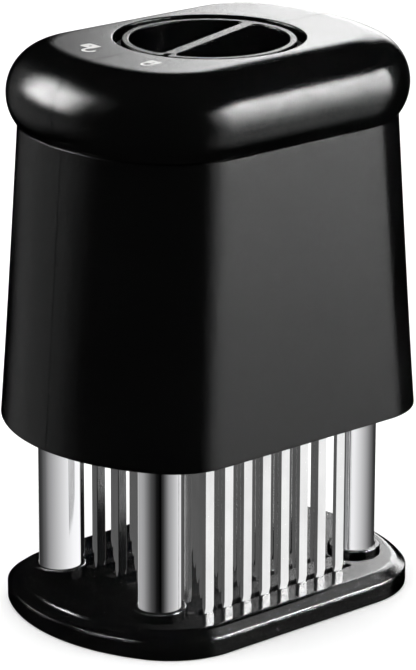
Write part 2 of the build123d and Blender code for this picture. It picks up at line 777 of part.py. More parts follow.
pad_block_points = [(pad_block_x + pad_block_length / 2, y) for y in (-post_y, post_y)]
right_posts = [(post_x, -post_y), (post_x, post_y)]

with BuildPart() as lock_slide_right:
    with Locations(((slide_inner_end + pad_block_x) / 2, 0, slide_z)):
        Box(pad_block_x - slide_inner_end, 2 * slide_half_width, slide_thickness, align=UP)
    with Locations((crossbar_x + crossbar_width / 2, 0, slide_z)):
        Box(crossbar_width, 2 * (post_y + pad_half_width), slide_thickness, align=UP)
    with Locations(*at_height(pad_block_points, slide_z)):
        Box(pad_block_length, 2 * pad_half_width, slide_thickness, align=UP)
    with Locations(*at_height(right_posts, slide_z)):
        Cylinder(pad_back_radius, slide_thickness, align=UP, mode=Mode.SUBTRACT)
    with Locations((slide_pin_x, 0, slide_z)):
        Cylinder(slide_pin_radius + seat_clearance, slide_thickness, align=UP, mode=Mode.SUBTRACT)

with BuildPart() as brake_pads_right:
    with Locations(*at_height(pad_block_points, slide_z)):
        Box(pad_block_length, 2 * pad_half_width, slide_thickness, align=UP)
    with Locations(*at_height(right_posts, slide_z)):
        Cylinder(pad_face_radius, slide_thickness, align=UP, mode=Mode.SUBTRACT)
    with BuildSketch(Plane.XY.offset(slide_z)):
        with Locations(*right_posts):
            Circle(pad_back_radius - seat_clearance)
    extrude(amount=slide_thickness, mode=Mode.INTERSECT)

with BuildPart() as slide_pin_right:
    with Locations((slide_pin_x, 0, slide_z + slide_gap)):
        Cylinder(slide_pin_radius, slide_thickness + cam_gap + cam_thickness - 2 * slide_gap,
                 align=UP)


def mirrored(piece):
    with BuildPart() as twin:
        add(mirror(piece.part, about=Plane.YZ, mode=Mode.PRIVATE))
    return twin


lock_slide_left = mirrored(lock_slide_right)
brake_pads_left = mirrored(brake_pads_right)
slide_pin_left = mirrored(slide_pin_right)


# --- Names and files ------------------------------------------------------------------------------
nodes = {
    "base_lower_plate": base_lower_plate,
    "base_upper_plate": base_upper_plate,
    "post_collars": post_collars,
    "post_plugs": post_plugs,
    "post_end_caps": post_end_caps,
    "post_screws": post_screws,
    "skirt_front_half": skirt_front_half,
    "skirt_rear_half": skirt_rear_half,
    "cap_front_half": cap_front_half,
    "cap_rear_half": cap_rear_half,
    "guide_plate": guide_plate,
    "middle_deck": middle_deck,
    "top_frame": top_frame,
    "lower_guide_bushes": lower_guide_bushes,
    "upper_guide_bushes": upper_guide_bushes,
    "lower_columns": lower_columns,
    "upper_columns": upper_columns,
    "tie_bolts": tie_bolts,
    "tie_nuts": tie_nuts,
    "plunger_nuts": plunger_nuts,
    "skirt_screws": skirt_screws,
    "cap_screws": cap_screws,
    "blade_carrier": blade_carrier,
    "carrier_screws": carrier_screws,
    "comb_tie_rods": comb_tie_rods,
    "comb_tie_nuts": comb_tie_nuts,
    "lock_knob": lock_knob,
    "lock_spindle": lock_spindle,
    "spindle_clip": spindle_clip,
    "lock_cam": lock_cam,
    "cam_pin": cam_pin,
    "lock_slide_left": lock_slide_left,
    "lock_slide_right": lock_slide_right,
    "brake_pads_left": brake_pads_left,
    "brake_pads_right": brake_pads_right,
    "slide_pin_left": slide_pin_left,
    "slide_pin_right": slide_pin_right,
}
for corner in post_corners:
    nodes[f"guide_post_{corner}"] = guide_posts[corner]
    nodes[f"return_spring_{corner}"] = return_springs[corner]
    nodes[f"plunger_rod_{corner}"] = plunger_rods[corner]
for number, comb in enumerate(blade_combs, start=1):
    nodes[f"blade_comb_{number}"] = comb

os.makedirs("parts", exist_ok=True)
for name, piece in nodes.items():
    piece.part.label = name
    export_step(piece.part, f"parts/{name}.step")
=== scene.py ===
"""Blade meat tenderizer: a glossy black housing on four chrome posts over a slotted base.

Metres, +Z up, the base stands on z = 0, X runs along the long side and -Y is the front.
"""
import json
from math import asin, atan2, cos, pi, radians, sin, sqrt, tan, tau

import bmesh
import bpy
from mathutils import Matrix, Vector


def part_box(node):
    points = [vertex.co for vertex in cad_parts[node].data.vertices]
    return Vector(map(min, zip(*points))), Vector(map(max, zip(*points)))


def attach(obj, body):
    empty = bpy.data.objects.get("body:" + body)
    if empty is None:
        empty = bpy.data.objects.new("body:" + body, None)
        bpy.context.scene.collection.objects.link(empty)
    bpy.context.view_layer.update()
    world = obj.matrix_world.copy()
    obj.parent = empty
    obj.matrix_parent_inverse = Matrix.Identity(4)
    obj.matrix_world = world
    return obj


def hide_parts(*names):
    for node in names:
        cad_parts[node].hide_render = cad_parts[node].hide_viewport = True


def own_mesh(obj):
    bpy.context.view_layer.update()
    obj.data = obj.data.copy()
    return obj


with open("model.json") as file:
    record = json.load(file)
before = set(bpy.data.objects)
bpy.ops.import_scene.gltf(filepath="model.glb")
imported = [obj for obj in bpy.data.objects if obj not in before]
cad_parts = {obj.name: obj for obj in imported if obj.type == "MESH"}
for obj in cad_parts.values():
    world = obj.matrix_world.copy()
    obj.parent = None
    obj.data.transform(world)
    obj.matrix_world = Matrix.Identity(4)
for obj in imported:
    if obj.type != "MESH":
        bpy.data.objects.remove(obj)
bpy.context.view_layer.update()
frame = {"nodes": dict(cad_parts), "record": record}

MM = 0.001


# --- Sizes ----------------------------------------------------------------------------------------
# What the frame says comes from the boxes of its nodes; the radii between them are the maker's.
class Oblong:
    """Outline with straight long sides, domed ends and rounded corners."""

    def __init__(self, half_length, half_width, end_radius, corner_radius):
        self.length = half_length
        self.width = half_width
        self.end = end_radius
        self.corner = corner_radius

    def moved_in(self, inset):
        return Oblong(self.length - inset, self.width - inset, self.end - inset,
                      self.corner - inset)


def reach(name):
    """Largest X, Y and Z of a node."""
    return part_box(name)[1]


def floor_of(name):
    """Lowest Z of a node."""
    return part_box(name)[0].z


base = Oblong(reach("base_lower_plate").x, reach("base_lower_plate").y, 50.9 * MM, 22.5 * MM)
base_split = reach("base_lower_plate").z
base_top = reach("base_upper_plate").z
bevel_height = 2.1 * MM
bevel_width = 2.9 * MM
bevel_round_high = 0.9 * MM
bevel_round_low = 0.3 * MM
plate_round = 0.6 * MM
parting_round = 0.12 * MM

post_low, post_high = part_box("guide_post_rear_right")
post_x = (post_low.x + post_high.x) / 2
post_y = (post_low.y + post_high.y) / 2
post_places = [(x, y) for x in (-post_x, post_x) for y in (-post_y, post_y)]
post_radius = (post_high.x - post_low.x) / 2
post_bore = post_radius - 0.9 * MM
collar_radius = reach("post_collars").x - post_x
collar_top = reach("post_collars").z
collar_seat = floor_of("post_collars")
collar_round = 0.5 * MM
collar_chamfer = 0.25 * MM
seat_gap = 0.02 * MM
screw_hole = 2.25 * MM
screw_countersink = 3.9 * MM

cap = Oblong(reach("cap_front_half").x, reach("cap_rear_half").y, 60.0 * MM, 25.6 * MM)
cap_top = reach("cap_front_half").z
cap_seat = reach("skirt_front_half").z
cap_wall = 3.0 * MM
bullnose = 12.3 * MM
bullnose_flat = 0.2 * MM
cap_undercut = 2.71 * MM
lip_bottom = floor_of("cap_front_half")
lip_outer = 5.06 * MM
lip_wall = 1.2 * MM
knob_hole = 23.7 * MM
knob_hole_edge = 0.5 * MM

skirt_low = Oblong(reach("skirt_front_half").x, reach("skirt_rear_half").y, 51.0 * MM, 18.5 * MM)
skirt_high = cap.moved_in(cap_undercut)
skirt_bottom = floor_of("skirt_front_half")
skirt_wall = 2.2 * MM
skirt_round = 0.5 * MM
skirt_top_round = 0.12 * MM
shadow_gap_height = 0.5 * MM
shadow_gap_depth = 0.8 * MM
shadow_gap_fall = shadow_gap_depth / 3
plate_rib_height = 1.5 * MM
plate_rib_width = 1.2 * MM
plate_rib_top = floor_of("guide_plate")
plate_rib_bottom = plate_rib_top - plate_rib_height

knob_low, knob_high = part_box("lock_knob")
knob_radius = knob_high.x
# The ring and the rib stand a little above the height that the frame gives.
knob_rise = 0.25 * MM
knob_top = knob_high.z + knob_rise
knob_ring = 1.9 * MM
knob_rib = 3.5 * MM
knob_well = 12.8 * MM
knob_floor = 2.5 * MM
knob_hub = 6.0 * MM
knob_round = 0.35 * MM
knob_well_corner = 1.4 * MM
knob_well_foot = 1.0 * MM
knob_angle = radians(198.0)
pointer_notch = 0.9 * MM
spindle_radius = 3.02 * MM
spindle_top = knob_top - knob_well - knob_floor / 2

comb_names = sorted(name for name in frame["nodes"] if name.startswith("blade_comb_"))
comb_low, comb_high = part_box(comb_names[0])
row_count = len(comb_names)
row_reach = abs(comb_low.y + comb_high.y) / 2
row_pitch = 2 * row_reach / (row_count - 1)
row_places = [row_pitch * (i - (row_count - 1) / 2) for i in range(row_count)]
blade_columns = 8
column_pitch = 6.29 * MM
blade_width = 2.7 * MM
blade_thickness = comb_high.y - comb_low.y
blade_tip = comb_low.z
blade_point = 3.5 * MM
blade_grind = 0.9 * MM
blade_edge = 0.14 * MM
blade_root = 0.3 * MM
tip_half_width = 0.01 * MM
tip_half_thickness = 0.02 * MM
tie_rod_x = comb_high.x - 5.365 * MM
tie_rod_hole = 1.52 * MM
spine_bottom = floor_of("blade_carrier")
spine_top = comb_high.z
slot_end_gap = 2.6 * MM
slot_side_gap = 0.4 * MM
slot_half_length = (blade_columns - 1) / 2 * column_pitch + blade_width / 2 + slot_end_gap
slot_half_width = blade_thickness / 2 + slot_side_gap
slot_corner = 0.5 * MM
slot_round = 0.16 * MM

# The parting line of the two shell halves: how far from the middle each step of its groove stands,
# and how deep the surface lies there.
seam_steps = [(0.0, 0.8 * MM), (0.08 * MM, 0.8 * MM), (0.085 * MM, 0.05 * MM),
              (0.11 * MM, 0.016 * MM), (0.16 * MM, 0.004 * MM), (0.28 * MM, 0.0)]


# --- Nodes ----------------------------------------------------------------------------------------
def add(tree, kind, values=None, **settings):
    """A node with its settings, and its sockets set to values or linked to other nodes' outputs."""
    node = tree.nodes.new(kind)
    for name, value in settings.items():
        setattr(node, name, value)
    for socket, value in (values or {}).items():
        if isinstance(value, bpy.types.NodeSocket):
            tree.links.new(value, node.inputs[socket])
        else:
            node.inputs[socket].default_value = value
    return node


# --- Mesh makers ----------------------------------------------------------------------------------
def mesh_piece(name, build, material):
    """Turn a bmesh into an object whose faces point outwards."""
    bmesh.ops.remove_doubles(build, verts=build.verts, dist=0.001 * MM)
    bmesh.ops.recalc_face_normals(build, faces=build.faces)
    mesh = bpy.data.meshes.new(name)
    build.to_mesh(mesh)
    build.free()
    mesh.materials.append(material)
    piece = bpy.data.objects.new(name, mesh)
    bpy.context.scene.collection.objects.link(piece)
    return piece


def shaded(piece, sharp_angle=35.0):
    """Smooth shading in which flat faces stay flat beside rounded edges."""
    mesh = piece.data
    mesh.polygons.foreach_set("use_smooth", [True] * len(mesh.polygons))
    mesh.set_sharp_from_angle(angle=radians(sharp_angle))
    weights = piece.modifiers.new("flat_faces", "WEIGHTED_NORMAL")
    weights.keep_sharp = True
    weights.weight = 60
    return baked(piece)


def baked(piece):
    """The piece with its modifiers worked into a plain mesh."""
    graph = bpy.context.evaluated_depsgraph_get()
    graph.update()
    mesh = bpy.data.meshes.new_from_object(piece.evaluated_get(graph), depsgraph=graph)
    old = piece.data
    piece.modifiers.clear()
    piece.data = mesh
    mesh.name = piece.name
    bpy.data.meshes.remove(old)
    return piece


def bridge(build, rings):
    """Quads between closed rings of points that have the same count."""
    rows = [[build.verts.new(point) for point in ring] for ring in rings]
    count = len(rows[0])
    for row, following in zip(rows, rows[1:]):
        for i in range(count):
            j = (i + 1) % count
            build.faces.new((row[i], row[j], following[j], following[i]))
    return rows


def fill_between(build, loops):
    """Flat face inside the first loop with the other loops as holes."""
    edges = []
    for loop in loops:
        for a, b in zip(loop, loop[1:] + loop[:1]):
            edges.append(build.edges.get((a, b)) or build.edges.new((a, b)))
    bmesh.ops.triangle_fill(build, use_beauty=True, use_dissolve=False, edges=edges)


def capped(build, walls):
    """Walls, each a list of rings, with a flat face across all first and all last rings."""
    bands = [bridge(build, rings) for rings in walls]
    fill_between(build, [rows[0] for rows in bands])
    fill_between(build, [rows[-1] for rows in bands])


def arc_points(centre, radius, start, end, steps):
    """Points on an arc, without its first one."""
    turns = [start + (end - start) * i / steps for i in range(1, steps + 1)]
    return [(centre[0] + radius * cos(t), centre[1] + radius * sin(t)) for t in turns]


def raised(place, height):
    """Point at a height over a place on the ground plan."""
    return Vector((place.x, place.y, height))


def circle(centre, radius, height, steps):
    points = arc_points(centre, radius, 0.0, tau, steps)
    return [Vector((x, y, height)) for x, y in points]


def lathe(build, profile, centre=(0.0, 0.0), steps=96):
    """Rings round an upright axis through a list of (radius, height) steps."""
    return bridge(build, [circle(centre, radius, height, steps) for radius, height in profile])


def round_steps(radius, steps=4):
    """(along, out) pairs of a quarter round from the flat face to the wall."""
    turns = [pi / 2 * i / steps for i in range(steps + 1)]
    return [(radius * (1 - sin(t)), radius * (1 - cos(t))) for t in turns]


# --- Outlines -------------------------------------------------------------------------------------
END_STEPS = 18
CORNER_STEPS = 44
SIDE_STEPS = 18


def half_stations(shape, seam=True):
    """(point, outward normal) pairs along the rear half of an oblong, from +X round to -X.

    With the seam, both ends also have the steps of the parting line's groove.
    """
    corner_x = shape.length - shape.end + sqrt((shape.end - shape.corner) ** 2
                                               - (shape.width - shape.corner) ** 2)
    corner_y = shape.width - shape.corner
    end_x = shape.length - shape.end
    meet = atan2(corner_y, corner_x - end_x)
    turns = [asin(step / shape.end) for step, _ in seam_steps] if seam else [0.0]
    first = turns[-1]
    turns += [first + (meet - first) * i / END_STEPS for i in range(1, END_STEPS + 1)]
    right = [(Vector((end_x + shape.end * cos(t), shape.end * sin(t))),
              Vector((cos(t), sin(t)))) for t in turns]
    for i in range(1, CORNER_STEPS + 1):
        t = meet + (pi / 2 - meet) * i / CORNER_STEPS
        right.append((Vector((corner_x + shape.corner * cos(t), corner_y + shape.corner * sin(t))),
                      Vector((cos(t), sin(t)))))
    side = [(Vector((corner_x * (1 - 2 * i / SIDE_STEPS), shape.width)), Vector((0.0, 1.0)))
            for i in range(1, SIDE_STEPS)]
    left = [(Vector((-p.x, p.y)), Vector((-n.x, n.y))) for p, n in reversed(right)]
    return right + side + left


def outline(shape, inset, height):
    """Closed loop of an oblong, moved in by inset, at a height."""
    rear = [(p - n * inset) for p, n in half_stations(shape, seam=False)]
    front = [Vector((-p.x, -p.y)) for p in rear]
    return [raised(p, height) for p in rear[:-1] + front[:-1]]


def seam_drops(count):
    """How deep the surface lies at each station of a half shell."""
    drops = [0.0] * count
    for i, (_, depth) in enumerate(seam_steps):
        drops[i] = depth
        drops[count - 1 - i] = depth
    return drops


def rounded_slot(half_length, half_width, centre_y, grow, height, corner=slot_corner):
    """Closed loop of a slot along X with small round corners, widened by grow."""
    steps = 4
    corners = [(half_length, half_width, 0.0), (-half_length, half_width, pi / 2),
               (-half_length, -half_width, pi), (half_length, -half_width, 3 * pi / 2)]
    points = []
    for x, y, start in corners:
        centre = (x - corner * (1 if x > 0 else -1), y - corner * (1 if y > 0 else -1))
        for i in range(steps + 1):
            turn = start + pi / 2 * i / steps
            points.append(Vector((centre[0] + (corner + grow) * cos(turn),
                                  centre_y + centre[1] + (corner + grow) * sin(turn), height)))
    return points


# --- Shells ---------------------------------------------------------------------------------------
def half_shell(name, side, rings, material):
    """Closed half shell from one closed cross-section per station."""
    if side < 0:
        rings = [[Vector((-p.x, -p.y, p.z)) for p in ring] for ring in rings]
    build = bmesh.new()
    rows = bridge(build, rings)
    build.faces.new(rows[0])
    build.faces.new(rows[-1])
    return shaded(mesh_piece(name, build, material))


def cap_half(name, side, material):
    """Pillow-shaped cap: half-round edge, flat top, knob hole, locating lip underneath."""
    outer_steps = 40
    inner_steps = 9
    mid_high = cap_top - bullnose
    mid_low = mid_high - bullnose_flat
    start = -asin((mid_low - cap_seat) / bullnose)
    stations = half_stations(cap)
    drops = seam_drops(len(stations))
    top_shares = [0.02, 0.25, 0.5, 0.75, 1.0]
    rings = []
    for (point, normal), drop in zip(stations, drops):
        def at(inset, height):
            return raised(point - normal * inset, height)

        ring = []
        for i in range(outer_steps + 1):
            turn = start + (pi / 2 - start) * i / outer_steps
            radius = bullnose - drop
            middle = mid_low if turn < 0 else mid_high
            ring.append(at(bullnose - radius * cos(turn), middle + radius * sin(turn)))
        border = point - normal * bullnose
        turn = atan2(border.y, border.x)
        spoke = Vector((cos(turn), sin(turn)))
        edge = spoke * (knob_hole + knob_hole_edge)
        ring += [raised(border.lerp(edge, share), cap_top - drop) for share in top_shares]
        ring += [raised(spoke * (knob_hole + along), cap_top - max(out, drop))
                 for along, out in round_steps(knob_hole_edge)[1:]]
        ring.append(raised(spoke * knob_hole, cap_top - cap_wall))
        for i in range(inner_steps + 1):
            turn = pi / 2 - (pi / 2 - start) * i / inner_steps
            radius = bullnose - cap_wall
            middle = mid_low if turn < 0 else mid_high
            height = max(middle + radius * sin(turn), cap_seat + lip_wall)
            ring.append(at(bullnose - radius * cos(turn), height))
        ring += [at(lip_outer + lip_wall, lip_bottom), at(lip_outer, lip_bottom),
                 at(lip_outer, cap_seat)]
        rings.append(ring)
    return half_shell(name, side, rings, material)


def skirt_half(name, side, material):
    """Tapering skirt: shadow gap under the cap with a falling floor, rib that carries the plate."""
    rows = 12
    low = half_stations(skirt_low)
    high = half_stations(skirt_high)
    drops = seam_drops(len(low))
    gap_bottom = cap_seat - shadow_gap_height
    rings = []
    for (low_point, low_normal), (high_point, high_normal), drop in zip(low, high, drops):
        def at(inset, height):
            share = (height - skirt_bottom) / (cap_seat - skirt_bottom)
            normal = low_normal.lerp(high_normal, share).normalized()
            return raised(low_point.lerp(high_point, share) - normal * inset, height)

        ring = []
        for along, out in round_steps(skirt_round):
            ring.append(at(max(along, drop), skirt_bottom + out))
        wall_start = skirt_bottom + skirt_round
        wall_end = gap_bottom - skirt_top_round
        for i in range(1, rows + 1):
            ring.append(at(drop, wall_start + (wall_end - wall_start) * i / rows))
        for along, out in reversed(round_steps(skirt_top_round, 3)[:-1]):
            ring.append(at(max(along, drop), gap_bottom - out))
        ring += [at(shadow_gap_depth, gap_bottom - shadow_gap_fall),
                 at(shadow_gap_depth, cap_seat), at(skirt_wall, cap_seat)]
        rib = skirt_wall + plate_rib_width
        ring += [at(skirt_wall, plate_rib_top), at(rib, plate_rib_top), at(rib, plate_rib_bottom),
                 at(skirt_wall, plate_rib_bottom)]
        for along, out in reversed(round_steps(skirt_round)[1:]):
            ring.append(at(skirt_wall - along, skirt_bottom + out))
        rings.append(ring)
    return half_shell(name, side, rings, material)


# --- Base -----------------------------------------------------------------------------------------
def plate(name, edge, slot_edge, hole_edge, material):
    """Slotted plate: edge, slot_edge and hole_edge list (size, height) steps from top to bottom."""
    walls = [[outline(base, inset, height) for inset, height in edge]]
    walls += [[rounded_slot(slot_half_length, slot_half_width, y, grow, height)
               for grow, height in slot_edge] for y in row_places]
    walls += [[circle(centre, radius, height, 64) for radius, height in hole_edge]
              for centre in post_places]
    build = bmesh.new()
    capped(build, walls)
    return shaded(mesh_piece(name, build, material))


def rounded_wall(top, bottom, high_round, low_round):
    """Steps of a wall with its top and bottom edges rounded."""
    down = [(along, top - out) for along, out in round_steps(high_round)]
    up = [(along, bottom + out) for along, out in reversed(round_steps(low_round))]
    return down + up


def lower_plate(material):
    seat = post_low.z
    post_hole = post_radius + seat_gap
    edge = rounded_wall(base_split, 0.0, parting_round, plate_round)
    slot_edge = rounded_wall(base_split, 0.0, slot_round, slot_round)
    hole_edge = [(post_hole, base_split), (post_hole, seat), (screw_hole, seat),
                 (screw_countersink, 0.0)]
    return plate("lower_plate", edge, slot_edge, hole_edge, material)


def soft_corner(corner, back, onward, size, steps=5):
    """Points of a rounded corner between two straight runs, as (inset, height)."""
    start = corner + back * size
    end = corner + onward * size
    points = []
    for i in range(steps + 1):
        t = i / steps
        points.append(start * (1 - t) ** 2 + corner * 2 * t * (1 - t) + end * t * t)
    return [(point.x, point.y) for point in points]


def upper_plate(material):
    """The top plate's wide bevel has a soft crease above and below."""
    slope = Vector((bevel_width, bevel_height)).normalized()
    crease_high = Vector((bevel_width, base_top))
    crease_low = Vector((0.0, base_top - bevel_height))
    inwards = Vector((1.0, 0.0))
    down = Vector((0.0, -1.0))
    edge = soft_corner(crease_high, inwards, -slope, bevel_round_high, 8)
    edge += soft_corner(crease_low, slope, down, bevel_round_low)
    edge.append((0.0, base_split))
    slot_edge = [(along, base_top - out) for along, out in round_steps(slot_round)]
    slot_edge.append((0.0, base_split))
    post_hole = post_radius + seat_gap
    collar_hole = collar_radius + seat_gap
    hole_edge = [(collar_hole, base_top), (collar_hole, collar_seat), (post_hole, collar_seat),
                 (post_hole, base_split)]
    return plate("upper_plate", edge, slot_edge, hole_edge, material)


# --- Copies in a grid -----------------------------------------------------------------------------
def shape_tree(name, sockets):
    """Geometry Nodes tree with named inputs and one output, and the node its inputs come from."""
    tree = bpy.data.node_groups.new(name, "GeometryNodeTree")
    for socket, kind in sockets:
        tree.interface.new_socket(socket, in_out="INPUT", socket_type="NodeSocket" + kind)
    tree.interface.new_socket("Shape", in_out="OUTPUT", socket_type="NodeSocketGeometry")
    return tree, add(tree, "NodeGroupInput").outputs


def give_out(tree, shape, material):
    """End a tree: real meshes, painted."""
    real = add(tree, "GeometryNodeRealizeInstances", {"Geometry": shape})
    painted = add(tree, "GeometryNodeSetMaterial", {"Geometry": real.outputs["Geometry"],
                                                    "Material": material})
    add(tree, "NodeGroupOutput", {"Shape": painted.outputs["Geometry"]})


def made_by(tree, piece, values):
    """The piece after a tree has worked on it, as one plain mesh."""
    maker = piece.modifiers.new(tree.name, "NODES")
    maker.node_group = tree
    for socket in tree.interface.items_tree:
        if socket.name in values:
            maker[socket.identifier] = values[socket.name]
    return baked(piece)


def grid_tree():
    """Copies of a piece at the points of a grid round the middle."""
    tree, given = shape_tree("copies_in_a_grid", [
        ("Piece", "Geometry"), ("Columns", "Int"), ("Rows", "Int"), ("Column Pitch", "Float"),
        ("Row Pitch", "Float"), ("Material", "Material")])
    spans = []
    for count, pitch in (("Columns", "Column Pitch"), ("Rows", "Row Pitch")):
        gaps = add(tree, "ShaderNodeMath", {0: given[count], 1: 1.0}, operation="SUBTRACT")
        span = add(tree, "ShaderNodeMath", {0: gaps.outputs[0], 1: given[pitch]},
                   operation="MULTIPLY")
        spans.append(span.outputs[0])
    grid = add(tree, "GeometryNodeMeshGrid", {"Size X": spans[0], "Size Y": spans[1],
                                              "Vertices X": given["Columns"],
                                              "Vertices Y": given["Rows"]})
    copies = add(tree, "GeometryNodeInstanceOnPoints", {"Points": grid.outputs["Mesh"],
                                                        "Instance": given["Piece"]})
    give_out(tree, copies.outputs["Instances"], given["Material"])
    return tree


def in_grid(piece, columns, rows, column_pitch, row_pitch):
    """The piece repeated in a grid, as one mesh."""
    return made_by(grid_tree(), piece, {
        "Columns": columns, "Rows": rows, "Column Pitch": column_pitch, "Row Pitch": row_pitch,
        "Material": piece.data.materials[0]})


# --- Posts and collars ----------------------------------------------------------------------------
def guide_post(name, centre, material):
    """Tube with a small chamfer on the upper end."""
    low, high = post_low.z, post_high.z
    break_edge = 0.3 * MM
    profile = [(post_bore, low), (post_bore, high - break_edge), (post_bore + break_edge, high),
               (post_radius - break_edge, high), (post_radius, high - break_edge),
               (post_radius, low)]
    build = bmesh.new()
    lathe(build, profile + profile[:1], centre, 128)
    return shaded(mesh_piece(name, build, material))


def collars(material):
    inner = post_radius + seat_gap
    profile = [(inner, collar_seat), (inner, collar_top - collar_chamfer),
               (inner + collar_chamfer, collar_top)]
    profile += [(collar_radius - along, collar_top - out)
                for along, out in round_steps(collar_round, 6)]
    profile.append((collar_radius, collar_seat))
    build = bmesh.new()
    lathe(build, profile + profile[:1])
    piece = mesh_piece("collars", build, material)
    return shaded(in_grid(piece, 2, 2, 2 * post_x, 2 * post_y))


# --- Blades ---------------------------------------------------------------------------------------
def blade_section(height):
    """Eight points round a blade: flat strip with broken corners, its point ground on both faces."""
    half = blade_width / 2
    thick = blade_thickness / 2
    lean = atan2(half, blade_point)
    grind = blade_grind / cos(lean)
    edge_x = (height - blade_tip) * tan(lean)
    outer = min(half, max(edge_x, tip_half_width))
    inner = min(max(edge_x - grind, 0.0), half - blade_edge)
    side = thick * min(max(edge_x - outer, 0.0) / grind, 1.0)
    side = min(max(side, tip_half_thickness), thick - blade_edge)
    face = thick * min(max(edge_x - inner, tip_half_thickness) / grind, 1.0)
    quarter = [(outer, side), (inner, face)]
    rear = quarter + [(-x, y) for x, y in reversed(quarter)]
    return [Vector((x, y, height)) for x, y in rear + [(-x, -y) for x, y in rear]]


def comb_blades(name, row, material):
    """One blade repeated along the row of a comb."""
    lean = atan2(blade_width / 2, blade_point)
    grind_rise = blade_grind / sin(lean)
    shoulder = blade_tip + blade_point
    heights = [blade_tip, blade_tip + grind_rise, shoulder, shoulder + grind_rise,
               spine_bottom + blade_root]
    build = bmesh.new()
    rings = [[point + Vector((0.0, row, 0.0)) for point in blade_section(height)]
             for height in heights]
    rows = bridge(build, rings)
    build.faces.new(rows[0])
    build.faces.new(rows[-1])
    piece = mesh_piece(name, build, material)
    return shaded(in_grid(piece, blade_columns, 1, column_pitch, 0.0), 20.0)


def upright_circle(x, y, radius, height):
    """Circle that stands upright along X."""
    return [Vector((x + p.x, y, height + p.y)) for p in circle((0.0, 0.0), radius, 0.0, 32)]


def spines(material):
    """Flat bars that carry the blades, with the two holes for the tie rods."""
    low, high, end = spine_bottom, spine_top, comb_high.x
    build = bmesh.new()
    sides = []
    for y in (-blade_thickness / 2, blade_thickness / 2):
        corners = [(end, low), (end, high), (-end, high), (-end, low)]
        loops = [[Vector((x, y, z)) for x, z in corners]]
        loops += [upright_circle(x, y, tie_rod_hole, (low + high) / 2)
                  for x in (-tie_rod_x, tie_rod_x)]
        sides.append(loops)
    capped(build, zip(*sides))
    piece = mesh_piece("blade_spines", build, material)
    return shaded(in_grid(piece, 1, row_count, 0.0, row_pitch))


# --- Return springs -------------------------------------------------------------------------------
spring_wire = 0.5 * MM
spring_turns = 16.0


def coil_tree():
    """A round wire wound into a coil that stands on its foot."""
    tree, given = shape_tree("wound_wire", [
        ("Turns", "Float"), ("Coil Radius", "Float"), ("Wire Radius", "Float"),
        ("Height", "Float"), ("Material", "Material")])
    path = add(tree, "GeometryNodeCurveSpiral", {
        "Resolution": 24, "Rotations": given["Turns"], "Start Radius": given["Coil Radius"],
        "End Radius": given["Coil Radius"], "Height": given["Height"]})
    wire = add(tree, "GeometryNodeCurvePrimitiveCircle", {"Resolution": 12,
                                                          "Radius": given["Wire Radius"]})
    coil = add(tree, "GeometryNodeCurveToMesh", {"Curve": path.outputs["Curve"],
                                                 "Profile Curve": wire.outputs["Curve"],
                                                 "Fill Caps": True})
    give_out(tree, coil.outputs["Mesh"], given["Material"])
    return tree


def return_spring(name, node, material):
    """Spring in the place of a node, standing on its foot."""
    low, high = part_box(node)
    tall = high.z - low.z
    piece = made_by(coil_tree(), mesh_piece(name, bmesh.new(), material), {
        "Turns": spring_turns, "Coil Radius": (high.x - low.x) / 2 - spring_wire,
        "Wire Radius": spring_wire, "Height": tall - 2 * spring_wire, "Material": material})
    foot = Vector(((low.x + high.x) / 2, (low.y + high.y) / 2, low.z))
    piece.data.transform(Matrix.Translation(foot + Vector((0.0, 0.0, spring_wire))))
    shaded(piece, 60.0)
    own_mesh(piece)
    return piece


# --- Lock knob ------------------------------------------------------------------------------------
def well_loop(side, inset, height):
    """Loop of a finger well, the shape of a D with round corners, moved in by inset."""
    wall = knob_radius - knob_ring
    corner_y = knob_rib / 2 + knob_well_corner
    corner_x = sqrt((wall - knob_well_corner) ** 2 - corner_y**2)
    lean = atan2(corner_y, corner_x)
    corner = knob_well_corner - inset
    points = arc_points((corner_x, corner_y), corner, -pi / 2, lean, 8)
    points += arc_points((0.0, 0.0), wall - inset, lean, pi - lean, 72)
    points += arc_points((-corner_x, corner_y), corner, pi - lean, 3 * pi / 2, 8)
    points += [(corner_x * (i / 6 - 1), corner_y - corner) for i in range(1, 13)]
    turn = Matrix.Rotation(knob_angle + pi * side, 4, "Z")
    return [turn @ Vector((x, y, height)) for x, y in points]


def pointer_cutter(material):
    """Bar that cuts the pointer's notch across the ring."""
    middle = knob_radius - knob_ring / 2
    place = Matrix.Rotation(knob_angle, 4, "Z") @ Matrix.Translation((middle, 0.0, knob_top))
    build = bmesh.new()
    bmesh.ops.create_cone(build, cap_ends=True, segments=32, radius1=pointer_notch,
                          radius2=pointer_notch, depth=2 * knob_ring,
                          matrix=place @ Matrix.Rotation(pi / 2, 4, "Y"))
    return mesh_piece("pointer_cutter", build, material)


